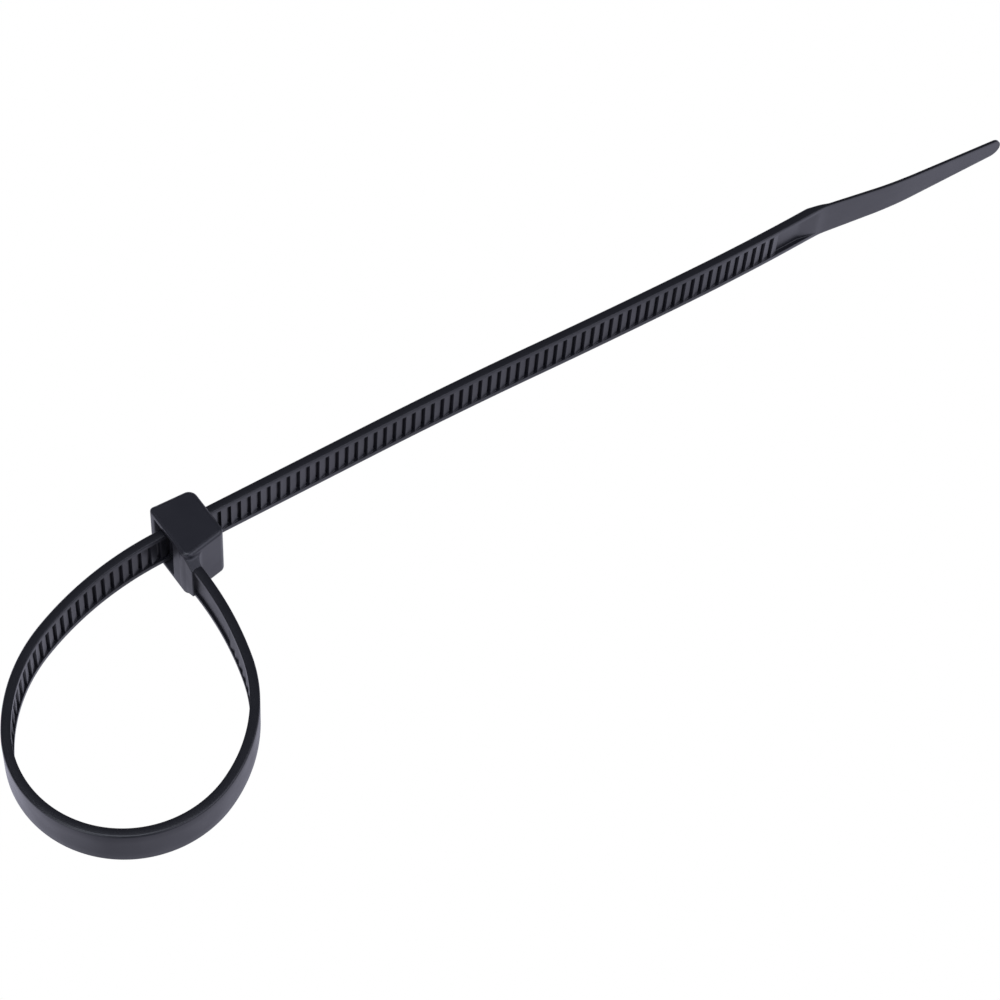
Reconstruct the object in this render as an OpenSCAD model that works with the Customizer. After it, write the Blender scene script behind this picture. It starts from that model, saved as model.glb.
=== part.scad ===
// A closed cable tie, moulded in one piece: a head with a locking pawl, and a
// toothed strap that runs round a loop, back through the head and out as a tail.
// Units are millimetres. The strap stands on edge, with its width along Z.
// The origin is the centre of the loop's round end, halfway up the strap.
// +X is the way the tail runs out of the head.

/* [Strap] */

// Width of the strap, along Z
strap_w = 4.8; // [4.5:0.1:5.2]

// Thickness of the strap over its side rails
strap_t = 1; // [0.95:0.05:1.2]

// Width of each plain rail beside the teeth
rail_w = 0.6; // [0.45:0.05:0.8]

/* [Teeth] */

// Distance from one tooth to the next along the strap
tooth_pitch = 1.146; // [1.12:0.002:1.17]

// How many teeth the strap has
tooth_count = 130; // [110:1:132]

// Depth of the channel between the rails, down to the tooth roots
tooth_root = 0.5; // [0.42:0.02:0.56]

// Depth of the tooth crests below the rails
tooth_crest = 0.08; // [0.04:0.02:0.14]

// Depth of the tooth heels below the rails, at the low end of each land
tooth_heel = 0.24; // [0.18:0.02:0.3]

// Part of the pitch that the flat floor between two teeth takes
gap_part = 0.18; // [0.14:0.01:0.24]

// Part of the pitch that the steep locking flank takes
flank_part = 0.08; // [0.05:0.01:0.12]

// Part of the pitch that the heel's drop to the floor takes
heel_part = 0.06; // [0.04:0.01:0.1]

// Depth of the plain channel between the neck and the first tooth
root_channel = 0.24; // [0.16:0.02:0.3]

// Distance along the strap from the head's centre to the first tooth
tooth_start = 12.35; // [10:0.05:14]

/* [Loop] */

// Mid-line radius of the loop's round end
loop_r = 11.37; // [10.8:0.01:11.9]

// Distance along X to the head's centre, in loop radii
head_x_part = 1.233; // [1.18:0.001:1.29]

// Distance along Y to the head's centre, in loop radii
head_y_part = 1.472; // [1.43:0.001:1.52]

// Lean of the strap's root away from the loop, in degrees
root_lean = 3.5; // [2.5:0.1:5]

// Straight length of strap between the head's neck and the first bend
root_straight = 0.2; // [0.2:0.1:1]

// Radius of the gentle bend after the root, in loop radii
root_bend_part = 3.307; // [2.9:0.001:3.8]

// Angle of the gentle bend after the root, in degrees
root_bend_deg = 16.5; // [13:0.5:20]

// Radius of the gentle bend before the head's slot, in loop radii
entry_bend_part = 3.078; // [2.7:0.001:3.5]

// Angle of the gentle bend before the head's slot, in degrees
entry_bend_deg = 25.6; // [22:0.2:30]

// Straight length of strap before the head's centre, inside the slot
slot_lead = 0.73; // [0.4:0.01:1.2]

/* [Tail] */

// Straight length of the tail after the head's centre
tail_straight = 23.5; // [18:0.5:28]

// Radius of the tail's first, inward bend
tail_bend_a_r = 556; // [450:2:900]

// Length of the tail's first bend
tail_bend_a_len = 20; // [15:0.5:25]

// Radius of the tail's second, outward bend
tail_bend_b_r = 909; // [700:1:1400]

// Length of the tail's second bend
tail_bend_b_len = 20; // [15:0.5:25]

// Radius of the tail's third, outward bend
tail_bend_c_r = 286; // [220:2:400]

// Plain channel between the last tooth and the tip
plain_len = 4.15; // [3.4:0.05:6]

// Length of the ramp where the channel's floor rises to the rails before the tip
floor_ramp = 2.2; // [1.6:0.1:2.8]

// Length of the ramp from the full thickness down to the thin tip
tip_ramp = 2.4; // [1.6:0.1:3.2]

// Thickness of the thin tip
tip_t = 0.35; // [0.3:0.05:0.5]

// Distance from the ramp's start to the bend of the thin tip
tip_lead = 1.1; // [0.6:0.1:1.6]

// Angle of the bend where the thin tip starts, in degrees
tip_bend_deg = 10.4; // [6:0.2:13]

// Radius of the bend where the thin tip starts
tip_bend_r = 8; // [6:0.5:12]

// Straight length of thin tip after that bend
tip_flat = 5.4; // [4:0.2:7]

// Radius of the tip's bend back
tip_back_r = 51; // [40:1:70]

// Angle of the tip's bend back, in degrees
tip_back_deg = 6.2; // [3:0.2:8]

// Straight length at the tip's end
tip_end = 11.5; // [9:0.1:13]

// Width of the tip halfway along it
tip_mid_w = 3.9; // [3.7:0.02:4.2]

// Width of the tip at its rounded end
tip_end_w = 2.4; // [2.4:0.05:3]

// Radius of the tip's rounded end corners
tip_round = 1.15; // [0.8:0.05:1.2]

/* [Head] */

// Wall above and below the strap's slot
head_wall = 1.3; // [1.15:0.05:1.6]

// Depth of the head along the slot
head_depth = 4.94; // [4.7:0.02:5.3]

// Length of head in front of its centre, on the root's side
head_front = 4.54; // [4.4:0.02:4.8]

// Wall between the slot and the head's back
back_wall = 1.84; // [1.5:0.02:2.1]

// How far the entry face stands proud of the strap's rails
entry_proud = 0.24; // [0.15:0.01:0.3]

// Lean of the head, in degrees
head_lean = 2.7; // [1:0.1:4]

// Draft of the head's back, in degrees
back_draft = 5; // [2:0.5:7]

// Draft of the head's front, in degrees
front_draft = 8.2; // [6:0.2:10]

// Radius of the head's upright corners at the entry's front and the exit's back
corner_r = 0.9; // [0.6:0.05:1.1]

// Radius of the head's other two upright corners
tight_corner_r = 0.65; // [0.5:0.05:0.9]

// Radius of the head's top and bottom edges
edge_r = 0.45; // [0.3:0.05:0.6]

// Radius of the top and bottom edges at the entry face
entry_edge_r = 0.2; // [0.1:0.05:0.3]

// Distance from the head's centre to where the root's neck ends
neck_len = 5.35; // [5.2:0.05:5.6]

// Radius of the hollow between the neck and the head's front
neck_r = 0.8; // [0.5:0.05:1]

/* [Slot and pawl] */

// Gap behind the strap in the slot
slot_gap = 0.2; // [0.12:0.02:0.3]

// Gap above and below the strap in the slot
side_gap = 0.25; // [0.15:0.05:0.35]

// Depth of the slot's flared mouth
flare_depth = 1.25; // [0.9:0.05:1.5]

// Extra width of the flared mouth behind and in front of the strap
flare_y = 0.7; // [0.4:0.05:0.8]

// Extra height of the flared mouth above and below the strap
flare_z = 0.45; // [0.3:0.05:0.55]

// Distance from the rails to the far wall of the pawl's pocket
pocket_depth = 1.6; // [1.45:0.05:1.7]

// Gap between the pawl and the strap
pawl_gap = 0.1; // [0.06:0.01:0.14]

// Thickness of the pawl's free end
pawl_t = 0.6; // [0.5:0.05:0.7]

// Gap between the pawl's sides and the strap's rails
pawl_side_gap = 0.25; // [0.15:0.05:0.35]

/* [Hidden] */

half_w = strap_w / 2;
half_t = strap_t / 2;
head_half_h = half_w + head_wall;
bar_reach = 2 * (head_depth + head_front);
arc_step = 2.5;
edge_steps = 5;
over = 0.6;
spare = 0.02;

head_at = loop_r * [head_x_part, head_y_part];
root_bend_r = loop_r * root_bend_part;
entry_bend_r = loop_r * entry_bend_part;

function dir(h) = [cos(h), sin(h)];
function left_of(h) = [-sin(h), cos(h)];
function unit(v) = v / norm(v);
function heading_of(v) = atan2(v.y, v.x);
function spin(v, a) = [v.x * cos(a) - v.y * sin(a), v.x * sin(a) + v.y * cos(a)];
function mix(a, b, f) = a + (b - a) * f;

// An angle brought into the turn just below another.
function wrap(a, below) = a - 360 * ceil((a - below) / 360);

// Heading and place after a length of bend. A radius of 0 is a straight, a
// positive one bends towards the loop's inside.
function turn(h, r, s) = r == 0 ? h : h - s / r * 180 / PI;
function walk(p, h, r, s) = r == 0 ? p + s * dir(h) : p + r * (left_of(turn(h, r, s)) - left_of(h));
function piece_end(q) = walk(q[0], q[1], q[2], q[3]);
function piece_heading(q) = turn(q[1], q[2], q[3]);
function bend_len(r, a) = r * a * PI / 180;

// Radius of the arc that leaves point p at heading h and runs smoothly into
// the loop's round end.
function joining_r(p, h) = (loop_r * loop_r - p * p) / (2 * (loop_r - left_of(h) * p));

// Each stretch of the mid-line is [start, heading, radius, length].
root_run = [head_at, root_lean - 90, 0, neck_len + root_straight];
root_bend = [piece_end(root_run), root_run[1], root_bend_r, bend_len(root_bend_r, root_bend_deg)];
join_a_at = piece_end(root_bend);
join_a_h = piece_heading(root_bend);
join_a_r = joining_r(join_a_at, join_a_h);
join_a_c = join_a_at - join_a_r * left_of(join_a_h);
round_h = wrap(heading_of(-join_a_c) - 90, join_a_h);
join_a = [join_a_at, join_a_h, join_a_r, bend_len(join_a_r, join_a_h - round_h)];

slot_at = head_at - [slot_lead, 0];
join_b_h = entry_bend_deg;
join_b_end = slot_at - entry_bend_r * (left_of(0) - left_of(join_b_h));
join_b_r = joining_r(join_b_end, join_b_h);
join_b_c = join_b_end - join_b_r * left_of(join_b_h);
round_end_h = wrap(heading_of(-join_b_c) - 90, round_h);
round_run = [loop_r * left_of(round_h), round_h, loop_r, bend_len(loop_r, round_h - round_end_h)];
join_b_deg = round_end_h + 360 - join_b_h;
join_b = [loop_r * left_of(round_end_h), round_end_h, join_b_r, bend_len(join_b_r, join_b_deg)];
entry_bend = [join_b_end, join_b_h, entry_bend_r, bend_len(entry_bend_r, entry_bend_deg)];

slot_run = [slot_at, 0, 0, slot_lead + tail_straight];
tail_a = [piece_end(slot_run), 0, tail_bend_a_r, tail_bend_a_len];
tail_b = [piece_end(tail_a), piece_heading(tail_a), -tail_bend_b_r, tail_bend_b_len];

loop_len = root_run[3] + root_bend[3] + join_a[3] + round_run[3] + join_b[3] + entry_bend[3];
teeth_end = tooth_start + tooth_count * tooth_pitch;
tip_start = teeth_end + plain_len;
channel_end = tip_start + tip_lead;
tail_c_len = tip_start - loop_len - slot_run[3] - tail_a[3] - tail_b[3];

tail_c = [piece_end(tail_b), piece_heading(tail_b), -tail_bend_c_r, tail_c_len];
tip_first = [piece_end(tail_c), piece_heading(tail_c), 0, tip_lead];
tip_bend = [piece_end(tip_first), tip_first[1], tip_bend_r, bend_len(tip_bend_r, tip_bend_deg)];
tip_run = [piece_end(tip_bend), piece_heading(tip_bend), 0, tip_flat];
tip_back = [piece_end(tip_run), tip_run[1], -tip_back_r, bend_len(tip_back_r, tip_back_deg)];
tip_last = [piece_end(tip_back), piece_heading(tip_back), 0, tip_end];

RUN = [root_run, root_bend, join_a, round_run, join_b, entry_bend, slot_run,
    tail_a, tail_b, tail_c, tip_first, tip_bend, tip_run, tip_back, tip_last];

// Distance along the mid-line at which each stretch starts.
function starts(i = 0, s = 0) = i == len(RUN) ? [s] : concat([s], starts(i + 1, s + RUN[i][3]));
START = starts();

function stretch(s, i = 0) = i == len(RUN) - 1 || s < START[i + 1] ? i : stretch(s, i + 1);

// Point at distance s along the mid-line and d to its left, the loop's outside.
function at(s, d) =
    let (i = stretch(s), q = RUN[i], u = s - START[i])
    walk(q[0], q[1], q[2], u) + d * left_of(turn(q[1], q[2], u));

// Stations along the mid-line, closer together where it bends.
function steps(q) = max(1, q[2] == 0 ? 1 : ceil(q[3] / abs(q[2]) * 180 / PI / arc_step));
function stations(a, b) = [
    a,
    for (i = [0:len(RUN) - 1])
        for (j = [0:steps(RUN[i]) - 1])
            let (s = START[i] + RUN[i][3] * j / steps(RUN[i]))
            if (s > a + 0.05 && s < b - 0.05) s,
    b
];
function back_to_front(v) = [for (i = [len(v) - 1:-1:0]) v[i]];

root_in = 3.2;
ramp_end = tip_start + tip_ramp;
ALONG = concat(stations(root_in, tip_start), [ramp_end], stations(ramp_end + 0.1, START[len(RUN)]));

// Outer face's distance from the mid-line. It drops to the thin tip on a ramp.
function outer(s) = mix(half_t, tip_t - half_t, min(1, max(0, (s - tip_start) / tip_ramp)));

// Inner face's distance. Round the loop's end it stands in by a hair, and the
// true cylinder in the strap's body trims it back.
function inner(s) = s > START[3] + 0.01 && s < START[4] - 0.01 ? half_t + spare : half_t;

module strap_blank() {
    edge_out = [for (s = ALONG) at(s, outer(s))];
    edge_in = [for (s = ALONG) at(s, -inner(s))];
    difference() {
        translate([0, 0, -half_w])
            linear_extrude(strap_w)
                polygon(concat(edge_out, back_to_front(edge_in)));
        translate([0, 0, -half_w - over])
            cylinder(h = strap_w + 2 * over, r = loop_r - half_t, $fn = 180);
    }
}

// Channel between the rails, with the saw profile of the teeth as its floor.
module tooth_channel() {
    floor_d = -half_t + tooth_root;
    crest_d = -half_t + tooth_crest;
    heel_d = -half_t + tooth_heel;
    root_d = -half_t + root_channel;
    saw = [
        for (i = [0:tooth_count - 1])
            let (s = tooth_start + i * tooth_pitch)
            each [
                at(s, floor_d),
                at(s + gap_part * tooth_pitch, floor_d),
                at(s + (gap_part + flank_part) * tooth_pitch, crest_d),
                at(s + (1 - heel_part) * tooth_pitch, heel_d)
            ]
    ];
    plain_a = stations(neck_len, tooth_start - 0.2);
    plain_b = stations(teeth_end, channel_end - floor_ramp);
    air = back_to_front(stations(neck_len, channel_end));
    translate([0, 0, -half_w + rail_w])
        linear_extrude(strap_w - 2 * rail_w)
            polygon(concat(
                [for (s = plain_a) at(s, root_d)],
                saw,
                [for (s = plain_b) at(s, floor_d)],
                [at(channel_end, -half_t)],
                [for (s = air) at(s, -half_t - over)]
            ));
}

// Side view of the tip, from its start to its rounded end.
tip_from = at(tip_start + tip_ramp / 2, 0);
tip_to = at(START[len(RUN)], 0);
tip_run_len = norm(tip_to - tip_from);

module tip_trim() {
    half_end = tip_end_w / 2;
    nose_at = [tip_run_len - tip_round, half_end - tip_round];
    nose = [for (a = [90:-15:0]) nose_at + tip_round * dir(a)];
    taper = [[0, half_w], [tip_run_len * 0.45, tip_mid_w / 2]];
    air_x = tip_run_len + over;
    air = [[air_x, nose[len(nose) - 1].y], [air_x, half_w + over], [0, half_w + over]];
    for (side = [0, 1])
        mirror([0, 0, side])
            translate([tip_from.x, tip_from.y, 0])
                rotate([0, 0, heading_of(tip_to - tip_from)])
                    rotate([90, 0, 0])
                        translate([0, 0, -4])
                            linear_extrude(8)
                                polygon(concat(taper, nose, air));
}

module strap() {
    difference() {
        strap_blank();
        tooth_channel();
        tip_trim();
    }
}

// Corners of the head seen from above, in the head's own leaning frame:
// entry back, exit back, exit front, entry front.
head_back = half_t + slot_gap + back_wall;
entry_x = -half_t - entry_proud + neck_len * tan(root_lean - head_lean);
exit_x = entry_x + head_depth;
HEAD = [
    [entry_x, head_back],
    [exit_x, head_back - head_depth * tan(back_draft)],
    [exit_x, -head_front + head_depth * tan(front_draft)],
    [entry_x, -head_front]
];

// Polygon with each corner rounded.
function rounded(p, r) = [
    for (i = [0:len(p) - 1])
        let (
            c = p[i],
            u = unit(p[(i + len(p) - 1) % len(p)] - c),
            v = unit(p[(i + 1) % len(p)] - c),
            half = acos(u * v) / 2,
            centre = c + r[i] / sin(half) * unit(u + v),
            a0 = heading_of(c + u * r[i] / tan(half) - centre),
            sweep = wrap(heading_of(c + v * r[i] / tan(half) - centre) - a0, 180)
        )
        for (j = [0:edge_steps]) centre + r[i] * dir(a0 + sweep * j / edge_steps)
];

// Long bar whose top and bottom edges are rounded on the side from p to q,
// with the head's inside on the right of that side.
module edge_bar(p, q, r) {
    arc_at = [-r, head_half_h - r];
    arc = [for (j = [0:edge_steps]) arc_at + r * dir(90 * j / edge_steps)];
    side = concat([for (c = back_to_front(arc)) [c.x, c.y]], [for (c = arc) [c.x, -c.y]]);
    mid = (p + q) / 2;
    translate([mid.x, mid.y, 0])
        rotate([0, 0, heading_of(q - p) + 90])
            rotate([90, 0, 0])
                translate([0, 0, -bar_reach])
                    linear_extrude(2 * bar_reach)
                        polygon(concat([[-bar_reach, head_half_h]], side, [[-bar_reach, -head_half_h]]));
}

module head_block() {
    intersection() {
        translate([0, 0, -head_half_h])
            linear_extrude(2 * head_half_h)
                polygon(rounded(HEAD, [tight_corner_r, corner_r, tight_corner_r, corner_r]));
        edge_bar(HEAD[0], HEAD[1], edge_r);
        edge_bar(HEAD[1], HEAD[2], edge_r);
        edge_bar(HEAD[2], HEAD[3], edge_r);
        edge_bar(HEAD[3], HEAD[0], entry_edge_r);
    }
}

// Neck from the head to the strap's root. It grows in width and thickness
// towards the head, and its inner side is flush with the entry face.
module neck() {
    skew = root_lean - head_lean;
    root_out = spin([half_t, -neck_len], skew);
    front_a = HEAD[3];
    front_dir = unit(HEAD[2] - HEAD[3]);
    flare_at = front_a + front_dir * (half_t + root_out.x + neck_r);
    hollow = [for (j = [0:edge_steps]) let (f = j / edge_steps)
        [mix(root_out.x, flare_at.x, 1 - cos(90 * f)), mix(root_out.y + 0.15, flare_at.y, sin(90 * f))]];
    inner_side = [[entry_x, -head_front + 1.5], [entry_x, -neck_len]];
    plan = concat(inner_side, [root_out], hollow, [flare_at + [0, 1.2]]);
    ramp_y = -head_front + 0.6;
    ramp_z = head_half_h - edge_r;
    flank = [[-neck_len, half_w], [ramp_y, ramp_z], [ramp_y + 2, ramp_z]];
    intersection() {
        translate([0, 0, -head_half_h])
            linear_extrude(2 * head_half_h)
                polygon(plan);
        rotate([90, 0, 90])
            translate([0, 0, -bar_reach])
                linear_extrude(2 * bar_reach)
                    polygon(concat(flank, [for (c = back_to_front(flank)) [c.x, -c.y]]));
    }
}

// Space for the strap through the head: a flared mouth, the slot and the
// pocket that the pawl stands in. Its frame is the strap's own, unleaned.
slot_back = half_t + slot_gap;
slot_half_h = half_w + side_gap;
mouth_x = -half_t - entry_proud;
pocket_y = -half_t - pocket_depth;
lip_y = -half_t - pocket_depth / 2;

module slot_space() {
    flare_end = mouth_x + flare_depth;
    translate([0, 0, -slot_half_h])
        linear_extrude(2 * slot_half_h)
            polygon([
                [mouth_x - 2, slot_back],
                [mouth_x - 2, lip_y],
                [flare_end, lip_y],
                [flare_end, pocket_y],
                [exit_x + 2, pocket_y],
                [exit_x + 2, slot_back]
            ]);
    slope_y = flare_y / flare_depth;
    slope_z = flare_z / flare_depth;
    out = 1;
    intersection() {
        translate([0, 0, -head_half_h - 1])
            linear_extrude(2 * head_half_h + 2)
                polygon([
                    [mouth_x - out, slot_back + flare_y + out * slope_y],
                    [mouth_x - out, lip_y - flare_y - out * slope_y],
                    [flare_end, lip_y],
                    [flare_end, slot_back]
                ]);
        rotate([90, 0, 0])
            translate([0, 0, -bar_reach])
                linear_extrude(2 * bar_reach)
                    polygon([
                        [mouth_x - out, slot_half_h + flare_z + out * slope_z],
                        [mouth_x - out, -slot_half_h - flare_z - out * slope_z],
                        [flare_end, -slot_half_h],
                        [flare_end, slot_half_h]
                    ]);
    }
}

// Pawl that locks the teeth. It hangs on the mouth's front lip and points at
// the exit. Its two teeth stand in gaps of the strap's, clear of the flanks.
module pawl() {
    centre_s = loop_len + slot_lead;
    last_i = floor((exit_x - 0.7 + centre_s - tooth_start) / tooth_pitch);
    last_x = tooth_start + last_i * tooth_pitch - centre_s;
    first_x = last_x - tooth_pitch;
    top_y = -half_t - 0.75 * pawl_gap;
    apex_y = -half_t + tooth_root - 2 * pawl_gap;
    hinge_x = mouth_x + flare_depth;
    function tooth(x) = [
        [x - pawl_gap, top_y],
        [x + gap_part * tooth_pitch - pawl_gap, apex_y],
        [x + (gap_part + flank_part) * tooth_pitch - pawl_gap, top_y]
    ];
    half_z = half_w - rail_w - pawl_side_gap;
    end_x = last_x + 0.4;
    translate([0, 0, -half_z])
        linear_extrude(2 * half_z)
            polygon(concat(
                [[hinge_x - 0.4, pocket_y - 0.3], [hinge_x - 0.4, lip_y - 0.05], [hinge_x + 0.2, top_y]],
                tooth(first_x),
                tooth(last_x),
                [
                    [end_x, top_y],
                    [end_x, top_y - pawl_t],
                    [hinge_x + 1.15, top_y - pawl_t - 0.2],
                    [hinge_x + 0.75, pocket_y - 0.3]
                ]
            ));
}

module head() {
    translate([head_at.x, head_at.y, 0]) {
        difference() {
            rotate([0, 0, head_lean]) {
                head_block();
                neck();
            }
            slot_space();
        }
        pawl();
    }
}

module cable_tie() {
    color([0.03, 0.03, 0.035])
        union() {
            head();
            strap();
        }
}

cable_tie();
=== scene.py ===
"""Looks of a closed black cable tie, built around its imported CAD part.

Lengths in the shape code are millimetres and become metres when a mesh is
made. The strap stands on edge, its width along Z. The origin is the centre of
the loop's round end, and +X is the way the tail runs out of the head.
"""

import math

import bpy
import numpy as np
from mathutils import Matrix, Vector


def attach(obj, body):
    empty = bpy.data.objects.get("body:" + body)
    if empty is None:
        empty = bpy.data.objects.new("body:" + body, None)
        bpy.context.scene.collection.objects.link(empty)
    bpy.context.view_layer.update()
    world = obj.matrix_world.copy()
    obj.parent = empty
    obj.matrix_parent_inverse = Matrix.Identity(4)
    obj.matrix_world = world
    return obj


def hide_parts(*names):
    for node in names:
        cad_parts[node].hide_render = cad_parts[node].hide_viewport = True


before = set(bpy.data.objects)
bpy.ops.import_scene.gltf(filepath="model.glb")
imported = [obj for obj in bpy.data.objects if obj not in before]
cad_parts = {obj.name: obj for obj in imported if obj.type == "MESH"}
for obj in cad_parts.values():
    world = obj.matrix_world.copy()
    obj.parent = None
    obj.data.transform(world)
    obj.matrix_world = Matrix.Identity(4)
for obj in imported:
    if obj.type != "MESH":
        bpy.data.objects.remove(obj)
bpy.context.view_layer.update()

MM = 0.001

# Strap
STRAP_W = 4.8
STRAP_T = 1.0
RAIL_W = 0.6
OUTER_R = 0.25
INNER_R = 0.12
RIM_R = 0.035

# Teeth
PITCH = 1.146
TEETH = 130
FLOOR = 0.5
ROOT_FLOOR = 0.24
CREST = 0.08
HEEL = 0.24
GAP_PART = 0.18
FLANK_PART = 0.08
HEEL_PART = 0.06
TOOTH_START = 12.35

# Loop and tail
LOOP_R = 11.37
HEAD_X = 1.233 * LOOP_R
HEAD_Y = 1.472 * LOOP_R
ROOT_BEND_R = 3.307 * LOOP_R
ENTRY_BEND_R = 3.078 * LOOP_R
ROOT_LEAN = 3.5
ROOT_BEND_DEG = 16.5
ENTRY_BEND_DEG = 25.6
NECK_END = 5.35
ROOT_STRAIGHT = 0.2
SLOT_LEAD = 0.73
TAIL_STRAIGHT = 23.5
TAIL_BEND_A_R = 556
TAIL_BEND_B_R = 909
TAIL_BEND_C_R = 286
TAIL_BEND_LEN = 20
PLAIN_LEN = 4.15
FLOOR_RAMP = 2.2
TIP_RAMP = 2.4
TIP_T = 0.35
TIP_LEAD = 1.1
TIP_BEND_R = 8
TIP_BEND_DEG = 10.4
TIP_FLAT = 5.4
TIP_BACK_R = 51
TIP_BACK_DEG = 6.2
TIP_END = 11.5
TIP_MID_W = 3.9
TIP_END_W = 2.4
TIP_ROUND = 1.15

# Head
HEAD_H = 3.7
HEAD_DEPTH = 4.94
HEAD_FRONT = 4.54
BACK_WALL = 1.84
ENTRY_PROUD = 0.24
HEAD_LEAN = 2.7
BACK_DRAFT = 5.0
FRONT_DRAFT = 8.2
CORNER_R = 0.9
TIGHT_CORNER_R = 0.65
EDGE_R = 0.45
ENTRY_EDGE_R = 0.26
NECK_HOLLOW = 0.95
SLOT_GAP = 0.2
SIDE_GAP = 0.25
FLARE_DEPTH = 1.25
FLARE_Y = 0.7
FLARE_Z = 0.45
POCKET = 1.6
PAWL_GAP = 0.1
PAWL_T = 0.6
PAWL_SIDE_GAP = 0.25

HALF_W = STRAP_W / 2
HALF_T = STRAP_T / 2

# Camera, from the fit to the photograph's outlines. Angles in radians, lengths in millimetres.
EL, ROLL, YAW = 0.97086, -0.06664, 0.62515
DIST, FOCAL_PX = 313.03, 3055.79
SHIFT_X, SHIFT_Y = 0.06306, -0.09054
TX, TY = -25.681, -18.122

# Painted shade and light in reflections: brightness of the paper as the tie reflects it, by the place across
# the picture in millimetres.
# Tuned against the photograph.
REFLECTED_FROM, REFLECTED_TO = -16, 110
REFLECTED = [(-16, 1.35), (-9, 0.85), (-1, 0.5), (3, 0.6), (12, 0.77), (24, 0.6),
             (57, 0.62), (64, 0.95), (100, 1.0)]


# The strap's mid-line: straights and arcs, each (start, heading, radius, length).
def along(h):
    return np.array([math.cos(h), math.sin(h)])


def left_of(h):
    return np.array([-math.sin(h), math.cos(h)])


def piece_end(q):
    p, h, r, s = q
    if r == 0:
        return p + s * along(h), h
    h2 = h - s / r
    return p + r * (left_of(h2) - left_of(h)), h2


def joining_r(p, h):
    return (LOOP_R ** 2 - p @ p) / (2 * (LOOP_R - left_of(h) @ p))


def wrap(a, below):
    return a - 2 * math.pi * math.ceil((a - below) / (2 * math.pi))


def strap_run():
    rad = math.radians
    head = np.array([HEAD_X, HEAD_Y])
    root = (head, rad(ROOT_LEAN - 90), 0, NECK_END + ROOT_STRAIGHT)
    bend = (piece_end(root)[0], root[1], ROOT_BEND_R, ROOT_BEND_R * rad(ROOT_BEND_DEG))
    at_a, h_a = piece_end(bend)
    r_a = joining_r(at_a, h_a)
    c_a = at_a - r_a * left_of(h_a)
    round_h = wrap(math.atan2(-c_a[1], -c_a[0]) - math.pi / 2, h_a)
    join_a = (at_a, h_a, r_a, r_a * (h_a - round_h))
    slot_at = head - np.array([SLOT_LEAD, 0])
    h_b = rad(ENTRY_BEND_DEG)
    at_b = slot_at - ENTRY_BEND_R * (left_of(0) - left_of(h_b))
    r_b = joining_r(at_b, h_b)
    c_b = at_b - r_b * left_of(h_b)
    end_h = wrap(math.atan2(-c_b[1], -c_b[0]) - math.pi / 2, round_h)
    round_run = (LOOP_R * left_of(round_h), round_h, LOOP_R, LOOP_R * (round_h - end_h))
    join_b = (LOOP_R * left_of(end_h), end_h, r_b, r_b * (end_h + 2 * math.pi - h_b))
    entry = (at_b, h_b, ENTRY_BEND_R, ENTRY_BEND_R * h_b)
    run = [root, bend, join_a, round_run, join_b, entry]
    loop_len = sum(q[3] for q in run)
    run.append((slot_at, 0.0, 0, SLOT_LEAD + TAIL_STRAIGHT))
    tip_start = TOOTH_START + TEETH * PITCH + PLAIN_LEN
    c_len = tip_start - loop_len - run[-1][3] - 2 * TAIL_BEND_LEN
    for r, length in ((TAIL_BEND_A_R, TAIL_BEND_LEN), (-TAIL_BEND_B_R, TAIL_BEND_LEN),
                      (-TAIL_BEND_C_R, c_len), (0, TIP_LEAD),
                      (TIP_BEND_R, TIP_BEND_R * rad(TIP_BEND_DEG)), (0, TIP_FLAT),
                      (-TIP_BACK_R, TIP_BACK_R * rad(TIP_BACK_DEG)), (0, TIP_END)):
        p, h = piece_end(run[-1])
        run.append((p, h, r, length))
    starts = np.concatenate([[0], np.cumsum([q[3] for q in run])])
    return run, starts, tip_start, loop_len


RUN, START, TIP_START, LOOP_LEN = strap_run()
END = START[-1]


def centre(s):
    """Mid-line point and left-hand normal at each distance in s."""
    i = np.clip(np.searchsorted(START, s, side="right") - 1, 0, len(RUN) - 1)
    p = np.zeros((len(s), 2))
    n = np.zeros((len(s), 2))
    for k, (a, h, r, _) in enumerate(RUN):
        m = i == k
        u = s[m] - START[k]
        if r == 0:
            hh = np.full(u.shape, h)
            p[m] = a + u[:, None] * along(h)
        else:
            hh = h - u / r
            p[m] = a + r * (np.stack([-np.sin(hh), np.cos(hh)], 1) - left_of(h))
        n[m] = np.stack([-np.sin(hh), np.cos(hh)], 1)
    return p, n


def smooth(x):
    x = np.clip(x, 0, 1)
    return x * x * (3 - 2 * x)


def floor_depth(s):
    """Depth of the plain channel below the rails. Geometry nodes raise the teeth from it."""
    end = TIP_START + TIP_LEAD
    places = [TOOTH_START - 0.2, TOOTH_START, end - FLOOR_RAMP, end]
    return np.interp(s, places, [ROOT_FLOOR, FLOOR, FLOOR, 0])


def half_height(s):
    """Half the strap's width at s: full up to the tip, then tapered to a round end."""
    x0 = TIP_START + TIP_RAMP / 2
    length = END - x0
    u = s - x0
    w = np.interp(u, [0, 0.45 * length, length - TIP_ROUND], [HALF_W, TIP_MID_W / 2, TIP_END_W / 2])
    e = np.clip((u - length + TIP_ROUND) / TIP_ROUND, 0, 1)
    return w - TIP_ROUND * (1 - np.sqrt(np.maximum(1 - e * e, 0)))


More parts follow.
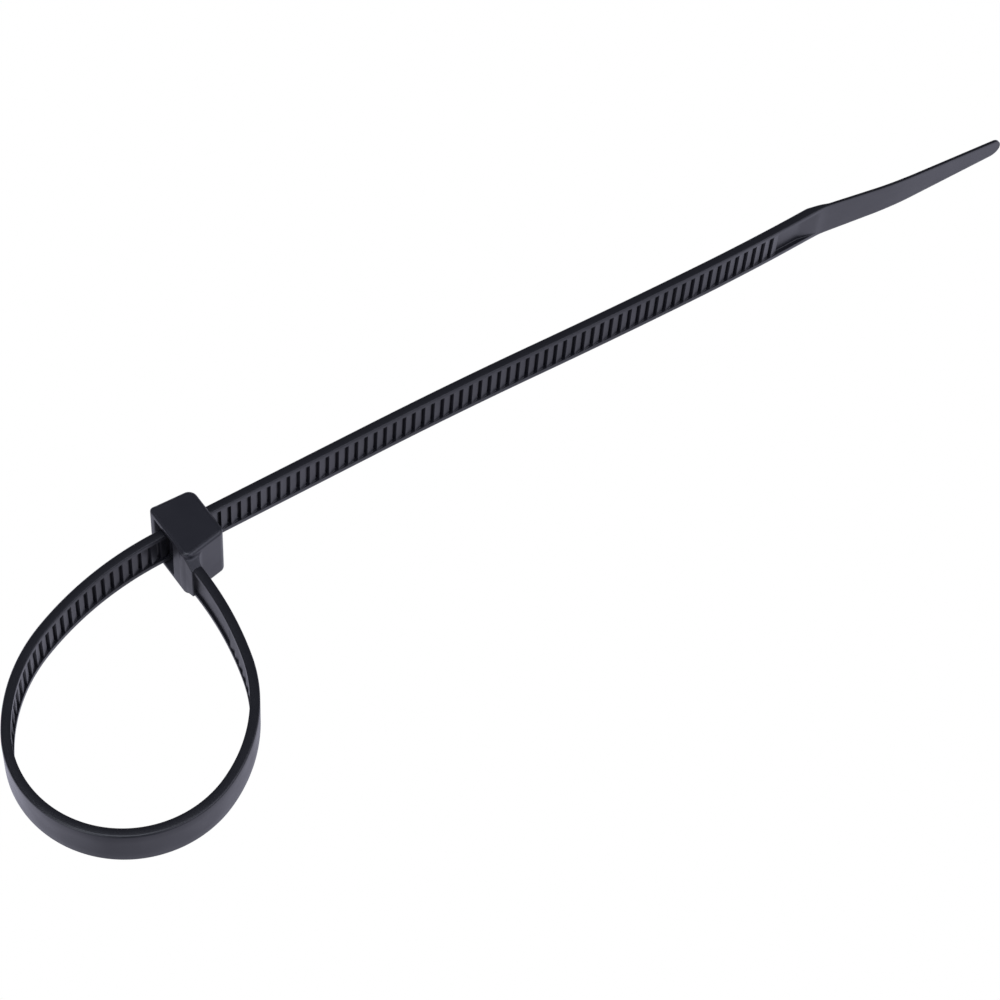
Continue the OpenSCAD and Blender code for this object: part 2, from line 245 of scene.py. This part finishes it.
def strap_stations():
    parts = [np.arange(3.4, TOOTH_START - 0.3, 0.4), [TOOTH_START - 0.22, TOOTH_START - 0.18]]
    f = np.array([-0.015, 0.015, 0.165, 0.195, 0.245, 0.275, 0.5, 0.72, 0.925, 0.955])
    parts.append((TOOTH_START + PITCH * (np.arange(TEETH)[:, None] + f[None, :])).ravel())
    parts.append(np.arange(TOOTH_START + TEETH * PITCH, END - TIP_ROUND, 0.3))
    a = np.linspace(0, math.pi / 2, 14)[:-1]
    parts.append(END - TIP_ROUND + TIP_ROUND * np.sin(a))
    parts.append([END - 0.004])
    s = np.unique(np.round(np.concatenate(parts), 5))
    return s[np.concatenate([[True], np.diff(s) > 0.003])]


def arc(c, r, a0, a1, n):
    a = np.radians(np.linspace(a0, a1, n + 1))
    return [(c[0] + r * math.cos(t), c[1] + r * math.sin(t)) for t in a]


def strap_section(o, w, depth):
    """Closed section as (offset, height) points. o is the outer face's offset."""
    i = -HALF_T
    ro = min(np.interp(o - i, [TIP_T, STRAP_T], [0.08, OUTER_R]), 0.5 * w)
    ri = min(np.interp(o - i, [TIP_T, STRAP_T], [0.03, INNER_R]), 0.3 * w)
    rail = max(w - RAIL_W, 0.4 * w)
    rr = min(RIM_R, 0.45 * depth, 0.2 * (w - rail))
    top = [(o, 0.5 * (w - ro))]
    top += arc((o - ro, w - ro), ro, 0, 90, 4)
    top += [((o - ro + i + ri) / 2, w)]
    top += arc((i + ri, w - ri), ri, 90, 180, 3)
    top += [(i, (w - ri + rail + rr) / 2)]
    top += arc((i + rr, rail + rr), rr, 180, 270, 1)
    top += arc((i + depth - rr, rail - rr), rr, 90, 0, 1)
    top += [(i + depth, 0.6 * rail), (i + depth, 0.25 * rail)]
    return [(o, 0.0)] + top + [(i + depth, 0.0)] + [(x, -z) for x, z in top[::-1]]


def strap_mesh():
    """The strap with a plain channel. Each point keeps its distance along the
    strap, and the way and share by which a tooth lifts it."""
    s = strap_stations()
    p, n = centre(s)
    o = HALF_T + (TIP_T - STRAP_T) * np.clip((s - TIP_START) / TIP_RAMP, 0, 1)
    w = half_height(s)
    depth = np.maximum(floor_depth(s), 0.0004)
    sec = np.array([strap_section(o[k], w[k], depth[k]) for k in range(len(s))])
    m = sec.shape[1]
    co = np.zeros((len(s), m, 3))
    co[:, :, :2] = p[:, None] + sec[:, :, :1] * n[:, None]
    co[:, :, 2] = sec[:, :, 1]
    # The floor's points and the hollow beside it stand deeper than the rims.
    deep = sec[:, :, 0] + HALF_T > 0.6 * depth[:, None]
    deep &= np.abs(sec[:, :, 1]) < (w - 0.9 * RAIL_W)[:, None]
    deep &= sec[:, :, 0] < HALF_T - 0.1
    lift = np.zeros((len(s), m, 3))
    lift[:, :, :2] = -n[:, None] * deep[:, :, None]
    k, j = np.meshgrid(np.arange(len(s) - 1), np.arange(m), indexing="ij")
    j2 = (j + 1) % m
    quads = np.stack([k * m + j, k * m + j2, (k + 1) * m + j2, (k + 1) * m + j], -1).reshape(-1, 4)
    faces = quads.tolist()
    faces.append(list(range(m))[::-1])
    faces.append([(len(s) - 1) * m + q for q in range(m)])
    return co.reshape(-1, 3), faces, np.repeat(s, m), lift.reshape(-1, 3)


def tooth_tree(material):
    """Geometry nodes that raise a row of teeth from the channel's floor."""
    tree = bpy.data.node_groups.new("strap_teeth", "GeometryNodeTree")
    tree.interface.new_socket("Geometry", in_out="INPUT", socket_type="NodeSocketGeometry")
    tree.interface.new_socket("Geometry", in_out="OUTPUT", socket_type="NodeSocketGeometry")
    ids = {}
    for name in TOOTH_SIZES:
        ids[name] = tree.interface.new_socket(name, in_out="INPUT", socket_type="NodeSocketFloat").identifier
    source = tree.nodes.new("NodeGroupInput")
    result = tree.nodes.new("NodeGroupOutput")

    def put(socket, value):
        if hasattr(value, "is_output"):
            tree.links.new(value, socket)
        else:
            socket.default_value = value

    def calc(operation, a, b=0.0):
        node = tree.nodes.new("ShaderNodeMath")
        node.operation = operation
        put(node.inputs[0], a)
        put(node.inputs[1], b)
        return node.outputs[0]

    def slope(value, start, end, rise):
        node = tree.nodes.new("ShaderNodeMapRange")
        put(node.inputs["Value"], value)
        put(node.inputs["From Min"], start)
        put(node.inputs["From Max"], end)
        put(node.inputs["To Min"], 0.0)
        put(node.inputs["To Max"], rise)
        return node.outputs["Result"]

    def stored(name, kind):
        node = tree.nodes.new("GeometryNodeInputNamedAttribute")
        node.data_type = kind
        node.inputs["Name"].default_value = name
        return node.outputs["Attribute"]

    size = {name: source.outputs[name] for name in TOOTH_SIZES}
    past_first = calc("SUBTRACT", stored("along", "FLOAT"), size["First tooth"])
    count = calc("DIVIDE", past_first, size["Pitch"])
    part = calc("FRACT", count)
    row = calc("MULTIPLY", calc("GREATER_THAN", count, 0.0), calc("LESS_THAN", count, size["Teeth"]))
    crest_from = calc("ADD", size["Gap part"], size["Flank part"])
    heel_from = calc("SUBTRACT", 1.0, size["Heel part"])
    to_crest = calc("SUBTRACT", size["Floor depth"], size["Crest depth"])
    to_heel = calc("SUBTRACT", size["Crest depth"], size["Heel depth"])
    to_floor = calc("SUBTRACT", size["Heel depth"], size["Floor depth"])
    flank = slope(part, size["Gap part"], crest_from, to_crest)
    land = slope(part, crest_from, heel_from, to_heel)
    drop = slope(part, heel_from, 1.0, to_floor)
    height = calc("MULTIPLY", calc("ADD", calc("ADD", flank, land), drop), row)
    raised = tree.nodes.new("ShaderNodeVectorMath")
    raised.operation = "SCALE"
    put(raised.inputs[0], stored("lift", "FLOAT_VECTOR"))
    put(raised.inputs["Scale"], height)
    move = tree.nodes.new("GeometryNodeSetPosition")
    put(move.inputs["Geometry"], source.outputs["Geometry"])
    put(move.inputs["Offset"], raised.outputs["Vector"])
    whole = tree.nodes.new("GeometryNodeRealizeInstances")
    put(whole.inputs["Geometry"], move.outputs["Geometry"])
    finish = tree.nodes.new("GeometryNodeSetMaterial")
    finish.inputs["Material"].default_value = material
    put(finish.inputs["Geometry"], whole.outputs["Geometry"])
    put(result.inputs["Geometry"], finish.outputs["Geometry"])
    return tree, ids


TOOTH_SIZES = {
    "Pitch": PITCH * MM,
    "First tooth": TOOTH_START * MM,
    "Teeth": float(TEETH),
    "Floor depth": FLOOR * MM,
    "Crest depth": CREST * MM,
    "Heel depth": HEEL * MM,
    "Gap part": GAP_PART,
    "Flank part": FLANK_PART,
    "Heel part": HEEL_PART,
}


def toothed_strap(name, material):
    """The strap's piece: a plain strap whose teeth the tree raises, as a plain mesh."""
    co, faces, along_strap, lift = strap_mesh()
    blank = piece_mesh(name, co, faces)
    blank.attributes.new("along", "FLOAT", "POINT").data.foreach_set("value", along_strap * MM)
    blank.attributes.new("lift", "FLOAT_VECTOR", "POINT").data.foreach_set("vector", lift.ravel())
    obj = bpy.data.objects.new(name, blank)
    bpy.context.scene.collection.objects.link(obj)
    tree, ids = tooth_tree(material)
    teeth = obj.modifiers.new("teeth", "NODES")
    teeth.node_group = tree
    for size_name, value in TOOTH_SIZES.items():
        teeth[ids[size_name]] = value
    graph = bpy.context.evaluated_depsgraph_get()
    done = bpy.data.meshes.new_from_object(obj.evaluated_get(graph))
    obj.modifiers.remove(teeth)
    obj.data = done
    bpy.data.meshes.remove(blank)
    done.name = name
    for extra in ("along", "lift"):
        done.attributes.remove(done.attributes[extra])
    smooth_faces(done)
    return obj


# Signed distances for the head, in millimetres. Negative is inside.
def sd_polygon(pts, x, y):
    pts = np.asarray(pts, float)
    d = np.full(x.shape, 1e9)
    inside = np.zeros(x.shape, bool)
    for a, b in zip(pts, np.roll(pts, -1, 0)):
        e = b - a
        t = np.clip(((x - a[0]) * e[0] + (y - a[1]) * e[1]) / (e @ e), 0, 1)
        d = np.minimum(d, np.hypot(x - a[0] - t * e[0], y - a[1] - t * e[1]))
        cross = (a[1] > y) != (b[1] > y)
        if abs(e[1]) > 1e-12:
            inside ^= cross & (x < a[0] + e[0] * (y - a[1]) / e[1])
    return np.where(inside, -d, d)


def both(a, b, r):
    """Intersection with a rounded edge of radius r."""
    return np.minimum(np.maximum(a, b), -r) + np.hypot(np.maximum(a + r, 0), np.maximum(b + r, 0))


def either(a, b, r):
    """Union with a hollow of radius r."""
    return -both(-a, -b, r)


ENTRY_X = -HALF_T - ENTRY_PROUD + NECK_END * math.tan(math.radians(ROOT_LEAN - HEAD_LEAN))
EXIT_X = ENTRY_X + HEAD_DEPTH
BACK_Y = HALF_T + SLOT_GAP + BACK_WALL
BACK_EXIT_Y = BACK_Y - HEAD_DEPTH * math.tan(math.radians(BACK_DRAFT))
FRONT_EXIT_Y = -HEAD_FRONT + HEAD_DEPTH * math.tan(math.radians(FRONT_DRAFT))


def head_field(xs, ys, z):
    """Head and neck, cut by the slot, with the pawl. xs and ys are in the strap's
    frame at the head."""
    lean = math.radians(HEAD_LEAN)
    x = xs * math.cos(lean) + ys * math.sin(lean)
    y = -xs * math.sin(lean) + ys * math.cos(lean)
    za = np.abs(z)

    # Block: four drafted sides with round upright corners, then the top and bottom edges.
    def plane(px, py, qx, qy):
        nx, ny = qy - py, px - qx
        g = math.hypot(nx, ny)
        return ((x - px) * nx + (y - py) * ny) / g
    entry = ENTRY_X - x
    exit_ = x - EXIT_X
    back = -plane(ENTRY_X, BACK_Y, EXIT_X, BACK_EXIT_Y)
    front = plane(ENTRY_X, -HEAD_FRONT, EXIT_X, FRONT_EXIT_Y)
    plan = np.maximum.reduce([both(entry, back, TIGHT_CORNER_R), both(back, exit_, CORNER_R),
                              both(exit_, front, TIGHT_CORNER_R), both(front, entry, CORNER_R)])
    re = ENTRY_EDGE_R + (EDGE_R - ENTRY_EDGE_R) * smooth((x - ENTRY_X) / 0.9)
    block = both(plan, za - HEAD_H, re)
    # Neck: flush with the entry face, and growing from the strap to the head.
    skew = math.radians(ROOT_LEAN - HEAD_LEAN)
    root_x = HALF_T * math.cos(skew) + NECK_END * math.sin(skew)
    t = np.clip((-y - HEAD_FRONT + 0.35) / (NECK_END - HEAD_FRONT + 0.35), 0, 1)
    hollow = root_x - 0.03 + NECK_HOLLOW * (1 - np.sqrt(np.maximum(1 - (1 - t) ** 2, 0)))
    t = np.clip((-y - HEAD_FRONT + 0.6) / (NECK_END - HEAD_FRONT + 0.6), 0, 1)
    tall = HALF_W - 0.03 + (HEAD_H - EDGE_R - HALF_W) * (1 - t)
    neck = both(both(ENTRY_X + 0.02 - x, x - hollow, 0.12), za - tall, 0.12)
    neck = both(neck, np.maximum(-NECK_END - 0.05 - y, y + HEAD_FRONT - 1.2), 0.02)
    solid = either(block, neck, 0.18)
    # Slot, flared mouth and the pawl's pocket.
    slot_back = HALF_T + SLOT_GAP
    slot_z = HALF_W + SIDE_GAP
    mouth_x = -HALF_T - ENTRY_PROUD
    flare_end = mouth_x + FLARE_DEPTH
    lip_y = -HALF_T - POCKET / 2
    pocket_y = -HALF_T - POCKET
    cut = sd_polygon([(mouth_x - 3, slot_back), (mouth_x - 3, lip_y), (flare_end, lip_y),
                      (flare_end, pocket_y), (EXIT_X + 3, pocket_y), (EXIT_X + 3, slot_back)], xs, ys)
    cut = both(cut, za - slot_z, 0.1)
    g = np.clip((flare_end - xs) / FLARE_DEPTH, -0.2, 3)
    flare = both(ys - slot_back - FLARE_Y * g, lip_y - FLARE_Y * g - ys, 0.15)
    flare = both(flare, za - slot_z - FLARE_Z * g, 0.15)
    flare = np.maximum(flare * 0.85, xs - flare_end)
    cut = np.minimum(cut, flare)
    solid = both(solid, -cut, 0.1)
    return np.minimum(solid, pawl_field(xs, ys, za, flare_end, lip_y, pocket_y))


def pawl_field(xs, ys, za, hinge_x, lip_y, pocket_y):
    """Pawl that hangs on the mouth's lip, with two teeth in gaps of the strap's."""
    centre_s = LOOP_LEN + SLOT_LEAD
    last_count = math.floor((EXIT_X - 0.7 + centre_s - TOOTH_START) / PITCH)
    last = TOOTH_START + last_count * PITCH - centre_s
    top_y = -HALF_T - 0.75 * PAWL_GAP
    apex_y = -HALF_T + FLOOR - 2 * PAWL_GAP
    pts = [(hinge_x - 0.4, pocket_y - 0.3), (hinge_x - 0.4, lip_y - 0.05), (hinge_x + 0.2, top_y)]
    for x in (last - PITCH, last):
        pts += [(x - PAWL_GAP, top_y), (x + GAP_PART * PITCH - PAWL_GAP, apex_y),
                (x + (GAP_PART + FLANK_PART) * PITCH - PAWL_GAP, top_y)]
    pts += [(last + 0.4, top_y), (last + 0.4, top_y - PAWL_T),
            (hinge_x + 1.15, top_y - PAWL_T - 0.2), (hinge_x + 0.75, pocket_y - 0.3)]
    half_z = HALF_W - RAIL_W - PAWL_SIDE_GAP
    return both(sd_polygon(pts, xs, ys), za - half_z, 0.05)


def skin(field, low, high, step):
    """Quads on the zero level of a field, one vertex a cell it crosses."""
    axes = [np.arange(a, b + step, step) for a, b in zip(low, high)]
    f = np.concatenate([field(*np.meshgrid(axes[0], axes[1], axes[2][k:k + 8], indexing="ij"))
                        for k in range(0, len(axes[2]), 8)], 2)
    inside = f < 0
    nx, ny, nz = (n - 1 for n in f.shape)
    total = np.zeros((nx, ny, nz, 3))
    count = np.zeros((nx, ny, nz))
    for ax in range(3):
        a = [slice(None)] * 3
        b = [slice(None)] * 3
        a[ax], b[ax] = slice(0, -1), slice(1, None)
        fa, fb = f[tuple(a)], f[tuple(b)]
        hit = inside[tuple(a)] != inside[tuple(b)]
        t = np.where(hit, fa / np.where(hit, fa - fb, 1), 0)
        o1, o2 = [q for q in range(3) if q != ax]
        for da in (0, 1):
            for db in (0, 1):
                sl = [slice(None)] * 3
                sl[o1] = slice(da, da + (nx, ny, nz)[o1])
                sl[o2] = slice(db, db + (nx, ny, nz)[o2])
                h, tt = hit[tuple(sl)], t[tuple(sl)]
                count += h
                total[..., ax] += tt
                total[..., o1] += h * da
                total[..., o2] += h * db
    cell = count > 0
    index = np.full((nx, ny, nz), -1)
    index[cell] = np.arange(cell.sum())
    base = np.stack(np.nonzero(cell), 1)
    co = np.array([a[0] for a in axes]) + step * (base + total[cell] / count[cell][:, None])
    quads = []
    for ax in range(3):
        o1, o2 = (ax + 1) % 3, (ax + 2) % 3
        a = [slice(1, -1)] * 3
        b = [slice(1, -1)] * 3
        a[ax], b[ax] = slice(0, -1), slice(1, None)
        ia, ib = inside[tuple(a)], inside[tuple(b)]
        for flip, hit in ((False, ia & ~ib), (True, ~ia & ib)):
            g = np.stack(np.nonzero(hit), 1)
            g[:, o1] += 1
            g[:, o2] += 1
            ring = []
            for d1, d2 in ((0, 0), (-1, 0), (-1, -1), (0, -1)):
                q = g.copy()
                q[:, o1] += d1
                q[:, o2] += d2
                ring.append(index[q[:, 0], q[:, 1], q[:, 2]])
            q = np.stack(ring, 1)
            quads.append(q[:, ::-1] if flip else q)
    return co, np.concatenate(quads)


def settle(field, co, reach):
    """Moves points onto the zero level of a field, each by reach at most."""
    start = co
    h = 0.004
    for _ in range(4):
        f = field(*co.T)
        g = np.stack([field(*(co + e).T) - field(*(co - e).T) for e in h * np.eye(3)], 1) / (2 * h)
        move = -(f / np.maximum((g * g).sum(1), 0.25))[:, None] * g
        co = start + np.clip(co + 0.8 * move - start, -reach, reach)
    return co


def head_mesh():
    low = (-1.2, -5.9, -3.95)
    high = (4.85, 3.0, 3.95)
    step = 0.078
    co, quads = skin(head_field, low, high, step)
    co = settle(head_field, co, 0.4 * step)
    co = co + np.array([HEAD_X, HEAD_Y, 0])
    return co, quads.tolist()


def piece_mesh(name, co, faces):
    mesh = bpy.data.meshes.new(name)
    mesh.from_pydata((co * MM).tolist(), [], faces)
    mesh.update()
    return mesh


def smooth_faces(mesh):
    mesh.shade_smooth()
    mesh.set_sharp_from_angle(angle=math.radians(38))


def moulded_head(name, material):
    co, faces = head_mesh()
    mesh = piece_mesh(name, co, faces)
    mesh.materials.append(material)
    smooth_faces(mesh)
    obj = bpy.data.objects.new(name, mesh)
    bpy.context.scene.collection.objects.link(obj)
    return obj


def new_material(name):
    m = bpy.data.materials.new(name)
    m.use_nodes = True
    tree = m.node_tree
    return m, tree, tree.nodes["Principled BSDF"]


def nylon(name, colour):
    m, tree, bsdf = new_material(name)
    bsdf.inputs["Base Color"].default_value = colour
    bsdf.inputs["IOR"].default_value = 1.5
    coord = tree.nodes.new("ShaderNodeTexCoord")
    fine = tree.nodes.new("ShaderNodeTexNoise")
    fine.inputs["Scale"].default_value = 5200
    fine.inputs["Detail"].default_value = 3
    broad = tree.nodes.new("ShaderNodeTexNoise")
    broad.inputs["Scale"].default_value = 420
    broad.inputs["Detail"].default_value = 2
    tree.links.new(coord.outputs["Object"], fine.inputs["Vector"])
    tree.links.new(coord.outputs["Object"], broad.inputs["Vector"])
    rough = tree.nodes.new("ShaderNodeMapRange")
    rough.inputs["To Min"].default_value = 0.30
    rough.inputs["To Max"].default_value = 0.44
    tree.links.new(broad.outputs["Fac"], rough.inputs["Value"])
    tree.links.new(rough.outputs["Result"], bsdf.inputs["Roughness"])
    bump = tree.nodes.new("ShaderNodeBump")
    bump.inputs["Strength"].default_value = 0.25
    bump.inputs["Distance"].default_value = 0.00001
    tree.links.new(fine.outputs["Fac"], bump.inputs["Height"])
    tree.links.new(bump.outputs["Normal"], bsdf.inputs["Normal"])
    return m


def paper():
    """White floor: plain white to the camera, a ramp of greys in reflections as painted shade and light, and
    dimmer as a light.
    """
    m = bpy.data.materials.new("white_paper")
    m.use_nodes = True
    tree = m.node_tree
    tree.nodes.remove(tree.nodes["Principled BSDF"])
    out = tree.nodes["Material Output"]
    path = tree.nodes.new("ShaderNodeLightPath")
    # In reflections the paper's brightness changes from the picture's left to its right: painted shade and
    # light in the tie's reflections.
    coord = tree.nodes.new("ShaderNodeTexCoord")
    across = tree.nodes.new("ShaderNodeVectorMath")
    across.operation = "DOT_PRODUCT"
    across.inputs[1].default_value = (math.cos(YAW), -math.sin(YAW), 0)
    spread = tree.nodes.new("ShaderNodeMapRange")
    spread.inputs["From Min"].default_value = REFLECTED_FROM * MM
    spread.inputs["From Max"].default_value = REFLECTED_TO * MM
    ramp = tree.nodes.new("ShaderNodeValToRGB")
    stops = ramp.color_ramp.elements
    for k, (place, value) in enumerate(REFLECTED):
        stop = stops[k] if k < 2 else stops.new(1.0)
        stop.position = (place - REFLECTED_FROM) / (REFLECTED_TO - REFLECTED_FROM)
        stop.color = (0.55 * value, 0.55 * value, 0.67 * value, 1)
    tree.links.new(coord.outputs["Object"], across.inputs[0])
    tree.links.new(across.outputs["Value"], spread.inputs["Value"])
    tree.links.new(spread.outputs["Result"], ramp.inputs["Fac"])

    def glow(strength):
        node = tree.nodes.new("ShaderNodeEmission")
        node.inputs["Strength"].default_value = strength
        return node
    dim, gloss, plain = glow(0.35), glow(1.75), glow(1.0)
    tree.links.new(ramp.outputs["Color"], gloss.inputs["Color"])
    under = tree.nodes.new("ShaderNodeMixShader")
    tree.links.new(path.outputs["Is Glossy Ray"], under.inputs[0])
    tree.links.new(dim.outputs[0], under.inputs[1])
    tree.links.new(gloss.outputs[0], under.inputs[2])
    mix = tree.nodes.new("ShaderNodeMixShader")
    tree.links.new(path.outputs["Is Camera Ray"], mix.inputs[0])
    tree.links.new(under.outputs[0], mix.inputs[1])
    tree.links.new(plain.outputs[0], mix.inputs[2])
    tree.links.new(mix.outputs[0], out.inputs["Surface"])
    return m


strap = toothed_strap("toothed_strap", nylon("strap_nylon", (0.008, 0.008, 0.012, 1)))
# The head's nylon is painted twice as light as the strap's, though both are one nylon: painted light on the
# head.
head = moulded_head("locking_head", nylon("head_nylon_painted_light", (0.016, 0.016, 0.022, 1)))
for piece in (strap, head):
    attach(piece, "root")
    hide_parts("cable_tie")

# Floor under the head's lower face
floor_mesh = bpy.data.meshes.new("floor")
half = 3.0
floor_z = -HEAD_H * MM
corners = [(x * half, y * half, floor_z) for x, y in ((-1, -1), (1, -1), (1, 1), (-1, 1))]
floor_mesh.from_pydata(corners, [], [(0, 1, 2, 3)])
floor_mesh.materials.append(paper())
floor = bpy.data.objects.new("floor", floor_mesh)
bpy.context.scene.collection.objects.link(floor)

to_row = Matrix.Rotation(-YAW, 3, "Z")
eye = to_row @ Vector((-TX, -DIST * math.cos(EL) - TY, DIST * math.sin(EL))) + Vector((HEAD_X, HEAD_Y, 0))
right = Vector((1, 0, 0))
up = Vector((0, math.sin(EL), math.cos(EL)))
rolled_right = math.cos(ROLL) * right - math.sin(ROLL) * up
rolled_up = math.sin(ROLL) * right + math.cos(ROLL) * up
away = Vector((0, -math.cos(EL), math.sin(EL)))
turn = Matrix((to_row @ rolled_right, to_row @ rolled_up, to_row @ away)).transposed().to_4x4()
cam_data = bpy.data.cameras.new("camera")
cam_data.sensor_width = 36
cam_data.lens = FOCAL_PX * 36 / 1000
cam_data.shift_x = SHIFT_X
cam_data.shift_y = SHIFT_Y
cam_data.clip_start = 0.01
cam_data.clip_end = 20
camera = bpy.data.objects.new("camera", cam_data)
camera.matrix_world = Matrix.Translation(eye * MM) @ turn
bpy.context.scene.collection.objects.link(camera)
bpy.context.scene.camera = camera


def softbox(name, toward, size, power, colour=(1.0, 1.0, 1.0), target=(0.03, 0.012, 0)):
    """Area light. toward is its place in the camera's own world, in metres from the target."""
    data = bpy.data.lights.new(name, "AREA")
    data.shape = "RECTANGLE"
    data.size, data.size_y = size
    data.energy = power
    data.color = colour
    obj = bpy.data.objects.new(name, data)
    place = Vector(target) + to_row @ Vector(toward)
    aim = (Vector(target) - place).to_track_quat("-Z", "Y").to_matrix().to_4x4()
    obj.matrix_world = Matrix.Translation(place) @ aim
    bpy.context.scene.collection.objects.link(obj)
    return obj


softbox("key", (-0.5, -0.75, 0.45), (0.6, 0.6), 3.0, (0.84, 0.88, 1.0))
softbox("fill", (0.8, -0.35, 0.5), (1.3, 0.8), 6.0, (0.82, 0.84, 1.0))
softbox("top", (-0.1, -0.25, 1.1), (0.7, 0.7), 5.0, (0.84, 0.88, 1.0))

world = bpy.data.worlds.new("world")
world.use_nodes = True
world.node_tree.nodes["Background"].inputs["Color"].default_value = (0.9, 0.93, 1.0, 1)
world.node_tree.nodes["Background"].inputs["Strength"].default_value = 0.14
bpy.context.scene.world = world
bpy.context.scene.view_settings.view_transform = "Standard"
